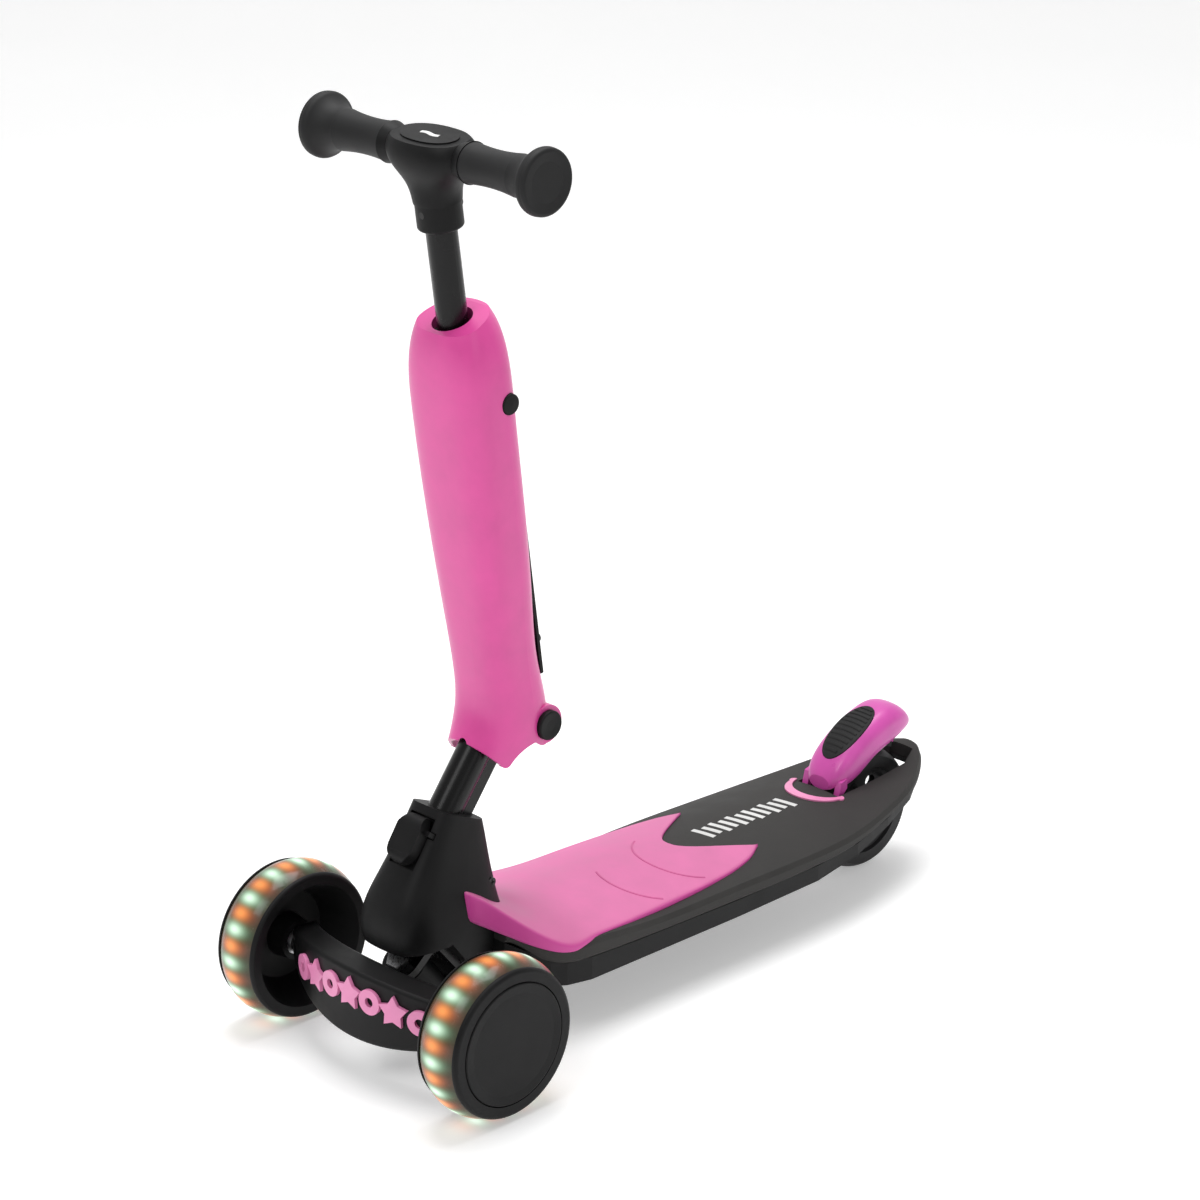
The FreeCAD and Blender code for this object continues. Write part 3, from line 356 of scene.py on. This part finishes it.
def nose(y):
    """1 on the nose, where the rim is a deep lip, falling to 0 on the flat of the deck."""
    t = min(max((132 - y) / 26, 0.0), 1.0)
    return t * t * (3 - 2 * t)


def pad_station(y, drawn_in):
    """Points from the middle of the pad, over its top and down its rim, on one side."""
    outer = float(smooth_rows(PAD_SIDE, y)[0]) - drawn_in
    inner = float(np.interp(y, *zip(*PAD_NOTCH))) if y > PAD_NOTCH[0][0] else 0.0
    outer = max(outer, inner + 0.5)
    low = smooth_rows(PAD_SECTIONS, y)[1]
    room = (outer - inner) / 2
    points = []
    if inner > 0:
        for step_in, down in reversed(RIM):
            x = inner + min(step_in, room)
            points.append((x, pad_top(x, y) - down))
    else:
        points = [(0.0, pad_top(0, y))] * len(RIM)
    start = points[-1][0]
    stop = outer - min(RIM[0][0], room)
    for step in range(1, TOP_STEPS):
        x = start + (stop - start) * step / TOP_STEPS
        points.append((x, pad_top(x, y)))
    for step_in, down in RIM:
        x = outer - min(step_in, room)
        points.append((x, pad_top(x, y) - down * (1 + 0.6 * nose(y))))
    floor = pad_top(outer, y) - PAD_STEP - 0.8
    bottom = floor + (low + 1.0 + drawn_in - floor) * nose(y)
    last = points[-1][1]
    for share in (0.2, 0.45, 0.7, 0.9):
        points.append((outer - 0.6 * share * share * nose(y), last + (bottom - last) * share))
    points.append((outer - 1.6 * nose(y) - 0.1, bottom - 0.4))
    points.append((outer - 4.4 * nose(y) - 0.2, bottom - 1.0))
    return [(x, y, z - 0.7 * drawn_in) for x, z in points]


def deck_pad():
    """Both halves of the pad, each a sheet from the middle line to its rolled rim."""
    stations = list(FRONT_ROUND)
    stations += [(50.0 + 3.0 * index, 0.0) for index in range(77)]
    stations += [(281.0, 0.0)] + [(y, 0.0) for y in np.linspace(282, 336, 28)] + PAD_TIPS
    verts, faces = [], []
    for hand in (1, -1):
        rows = [pad_station(y, drawn_in) for y, drawn_in in stations]
        base = len(verts)
        count = len(rows[0])
        for row in rows:
            verts += [(hand * x, y, z) for x, y, z in row]
        for index in range(len(rows) - 1):
            for k in range(count - 1):
                a = base + index * count + k
                faces.append((a, a + 1, a + 1 + count, a + count))
        faces.append(tuple(range(base, base + count)))
    return make("deck_pad_skin", verts, faces, smooth=50)


def pad_material_painted_rim_shade():
    """Soft pink pad with painted shade: a darker pink down its rim than on its top, set by how far each face
    turns from straight up.
    """
    mat = moulded("pad_skin", (0.69, 0.165, 0.38), 0.5, grain=900, depth=0.00006, shift=0.05)
    tree = mat.node_tree
    shader = tree.nodes["Principled BSDF"]
    top = shader.inputs["Base Color"].links[0].from_socket
    # Painted shade: faces that turn away from straight up take a darker pink, standing in for the shade on
    # the pad's rim.
    split = tree.nodes.new("ShaderNodeSeparateXYZ")
    tree.links.new(tree.nodes.new("ShaderNodeTexCoord").outputs["Normal"], split.inputs[0])
    share = spread(tree, split.outputs["Z"], 0.0, 1.0, 0.25, 0.9)
    tone = blend_colours(tree, share, (0.66, 0.06, 0.34, 1), top)
    tree.links.new(tone, shader.inputs["Base Color"])
    return mat


pad = finish_piece(deck_pad(), "frame", ["deck_pad"], pad_material_painted_rim_shade())


# ---------------------------------------------------------------- marks laid on a surface
RAY_START = 900         # above every surface that carries a mark
MARK_ROOT = -0.25       # a mark's edges sink this far into the surface


def surface_of(obj):
    points = [obj.matrix_world @ v.co for v in obj.data.vertices]
    return BVHTree.FromPolygons(points, [tuple(p.vertices) for p in obj.data.polygons])


def drop(surface, x, y, lift):
    """Point on the surface under (x, y), raised by lift, in millimetres."""
    start = TO_ROW @ Vector((x, y, RAY_START)) * MM
    hit = surface.ray_cast(start, Vector((0, 0, -1)))[0]
    return Vector((x, y, hit.z / MM + lift)) if hit else None


def ribbon(surface, centreline, width, lift):
    """Low raised band that follows a line across a surface."""
    profile = ((-0.5, MARK_ROOT), (-0.46, lift * 0.7), (-0.34, lift), (0.0, lift), (0.34, lift),
               (0.46, lift * 0.7), (0.5, MARK_ROOT))
    verts, faces = [], []
    count = len(centreline)
    for index, (x, y) in enumerate(centreline):
        before = centreline[max(index - 1, 0)]
        after = centreline[min(index + 1, count - 1)]
        along = Vector((after[0] - before[0], after[1] - before[1])).normalized()
        for across, up in profile:
            px = x - along.y * across * width
            py = y + along.x * across * width
            verts.append(drop(surface, px, py, up))
    size = len(profile)
    for index in range(count - 1):
        for k in range(size - 1):
            a = index * size + k
            b = a + size
            faces.append((a, a + 1, b + 1, b))
    faces.append(tuple(range(size)))
    faces.append(tuple(range((count - 1) * size, count * size))[::-1])
    return verts, faces


def gathered(bands):
    """Several bands as one list of points and one of faces."""
    verts, faces = [], []
    for some_verts, some_faces in bands:
        base = len(verts)
        verts += some_verts
        faces += [tuple(base + i for i in face) for face in some_faces]
    return verts, faces


def arc_line(centre, radius, start, stop):
    count = 40
    angles = [math.radians(start + (stop - start) * k / (count - 1)) for k in range(count)]
    return [(centre[0] + radius * math.cos(a), centre[1] + radius * math.sin(a)) for a in angles]


# Two thin curves on the pad, raised a little and in a darker pink: painted shade standing in for grooves.
CURVE_WIDTH, CURVE_LIFT = 1.7, 0.45
pad_surface = surface_of(pad)
curves = [ribbon(pad_surface, arc_line((16, 285), 41, -152, -25), CURVE_WIDTH, CURVE_LIFT),
          ribbon(pad_surface, arc_line((22, 239), 41, -118, -30), CURVE_WIDTH, CURVE_LIFT)]
# Painted shade: a darker pink laid on the curves where grooves would be in shade.
groove_shade_pink = moulded("groove_shade_pink", (0.60, 0.1, 0.29), 0.5, grain=900, depth=0.00006)
finish_piece(make("pad_curves", *gathered(curves)), "frame", [], groove_shade_pink)

# A plain row of bent bars printed on the deck, where the real one has its lettering.
PRINT_LIFT = 0.18
BARS = 11
FIRST_BAR_Y, BAR_PITCH, BAR_WIDTH = 319, 9.2, 5.0
deck_surface = surface_of(frame["nodes"]["deck_shell"])
bands = []
for index in range(BARS):
    y = FIRST_BAR_Y + index * BAR_PITCH
    reach = 8.0 if index % 2 else 10.0
    bar = [(2 - reach, y - 2), (2, y), (2 + reach, y + 2)]
    bands.append(ribbon(deck_surface, bar, BAR_WIDTH, PRINT_LIFT))
white_print = moulded("white_print", (0.72, 0.72, 0.71), 0.5, depth=0.00002, shift=0.06)
finish_piece(make("deck_print", *gathered(bands)), "frame", [], white_print)

# A short bar on top of the beam.
beam_surface = surface_of(frame["nodes"]["axle_beam"])
beam_bar = ribbon(beam_surface, [(0, -11.5), (3, -11.5), (6, -11.5)], 2.2, 0.2)
finish_piece(make("beam_mark", *beam_bar), "front_axle", [], white_print)

# A short wavy bar on the T-head's cap.
cap_middle = middle("t_head_cap") - Vector((0, AXLE.y, 0))
wave = [(-9.0 + 1.5 * k, cap_middle.y + 0.9 * math.sin(k * math.pi / 6)) for k in range(13)]
cap_bar = ribbon(surface_of(frame["nodes"]["t_head_cap"]), wave, 3.4, 0.3)
finish_piece(make("head_mark", *cap_bar), "handlebar", [], white_print)

# Ribs across the oval tread of the brake.
RIB_STEPS = 5           # ribs each side of the middle one
RIB_SPAN = 5.8          # half the tread's length, in ribs
tread_low, tread_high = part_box("brake_tread")
tread_middle = (tread_low.y + tread_high.y) / (2 * MM) - AXLE.y
tread_reach = (tread_high.y - tread_low.y) / (2 * MM) - 1.6
tread_surface = surface_of(frame["nodes"]["brake_tread"])
ribs = []
for index in range(-RIB_STEPS, RIB_STEPS + 1):
    y = tread_middle + index * tread_reach / RIB_SPAN
    reach = 11.6 * math.sqrt(1 - (index / RIB_SPAN) ** 2)
    line = [(-reach + 2 * reach * k / 10, y) for k in range(11)]
    ribs.append(ribbon(tread_surface, line, 2.1, 0.8))
finish_piece(make("brake_tread_ribs", *gathered(ribs)), "brake", [], LOOKS["black_rubber"])

# ---------------------------------------------------------------- camera, floor and light
VIEW_TURN, VIEW_TILT, VIEW_ROLL = 45.23, 20.51, 0.63    # degrees round, down and about the line of sight
CAMERA_PLACE = Vector((1.8383, AXLE.y * MM - 1.6174, 1.2697))
FOCAL_LENGTH = 113.88
SENSOR_WIDTH = 36

scene = bpy.context.scene
scene.view_settings.view_transform = "Standard"

camera_data = bpy.data.cameras.new("camera")
camera_data.lens = FOCAL_LENGTH
camera_data.sensor_width = SENSOR_WIDTH
camera_data.clip_end = 50
camera = bpy.data.objects.new("camera", camera_data)
scene.collection.objects.link(camera)
scene.camera = camera
turn = Matrix.Rotation(math.radians(VIEW_TURN), 4, "Z")
tilt = Matrix.Rotation(math.radians(90 - VIEW_TILT), 4, "X")
roll = Matrix.Rotation(math.radians(VIEW_ROLL), 4, "Z")
camera.matrix_world = Matrix.Translation(CAMERA_PLACE) @ turn @ tilt @ roll


def floor_material():
    mat, tree, shader = node_tree("floor_pale")
    cloud = noise(tree, object_place(tree), 1.5, 2.0)
    tone = ramp(tree, cloud, [(0.3, (0.86, 0.86, 0.86, 1)), (0.7, (0.88, 0.88, 0.88, 1))])
    tree.links.new(tone, shader.inputs["Base Color"])
    shader.inputs["Roughness"].default_value = 0.7
    shader.inputs["Emission Color"].default_value = (1, 1, 1, 1)
    shader.inputs["Emission Strength"].default_value = 0.32
    return mat


FLOOR_HALF = 30.0       # metres each side, and in front
WALL_START, WALL_CURVE, WALL_TOP = 3.0, 1.5, 6.0


def sweep_floor():
    """Pale studio floor with a wide curve up into a back wall, in metres."""
    profile = [(-FLOOR_HALF, 0.0), (WALL_START, 0.0)]
    for step in range(1, 13):
        angle = math.pi / 2 * step / 12
        profile.append((WALL_START + WALL_CURVE * math.sin(angle), WALL_CURVE - WALL_CURVE * math.cos(angle)))
    profile.append((WALL_START + WALL_CURVE, WALL_TOP))
    verts, faces = [], []
    for across in (-FLOOR_HALF, FLOOR_HALF):
        for deep, up in profile:
            verts.append((across, deep, up))
    count = len(profile)
    for index in range(count - 1):
        faces.append((index, index + 1, count + index + 1, count + index))
    to_camera = Matrix.Rotation(math.radians(VIEW_TURN), 3, "Z")
    mesh = bpy.data.meshes.new("studio_floor")
    mesh.from_pydata([to_camera @ Vector(v) for v in verts], [], faces)
    obj = bpy.data.objects.new("studio_floor", mesh)
    scene.collection.objects.link(obj)
    mesh.shade_smooth()
    mesh.materials.append(floor_material())


def area_light(name, place, target, side, power):
    data = bpy.data.lights.new(name, "AREA")
    data.shape = "RECTANGLE"
    data.size = data.size_y = side
    data.energy = power
    obj = bpy.data.objects.new(name, data)
    scene.collection.objects.link(obj)
    obj.location = place
    obj.rotation_euler = (Vector(target) - Vector(place)).to_track_quat("-Z", "Y").to_euler()


sweep_floor()
area_light("key", (0.2, -2.2, 2.6), (0, 0, 0.25), 1.2, 20)
area_light("fill", (2.6, -0.4, 1.5), (0, 0, 0.3), 1.6, 4)
area_light("top", (-0.3, 0.2, 2.6), (0, 0, 0.2), 1.5, 45)
world = bpy.data.worlds.new("studio")
scene.world = world
world.use_nodes = True
background = world.node_tree.nodes["Background"]
background.inputs["Color"].default_value = (1, 1, 1, 1)
background.inputs["Strength"].default_value = 0.4
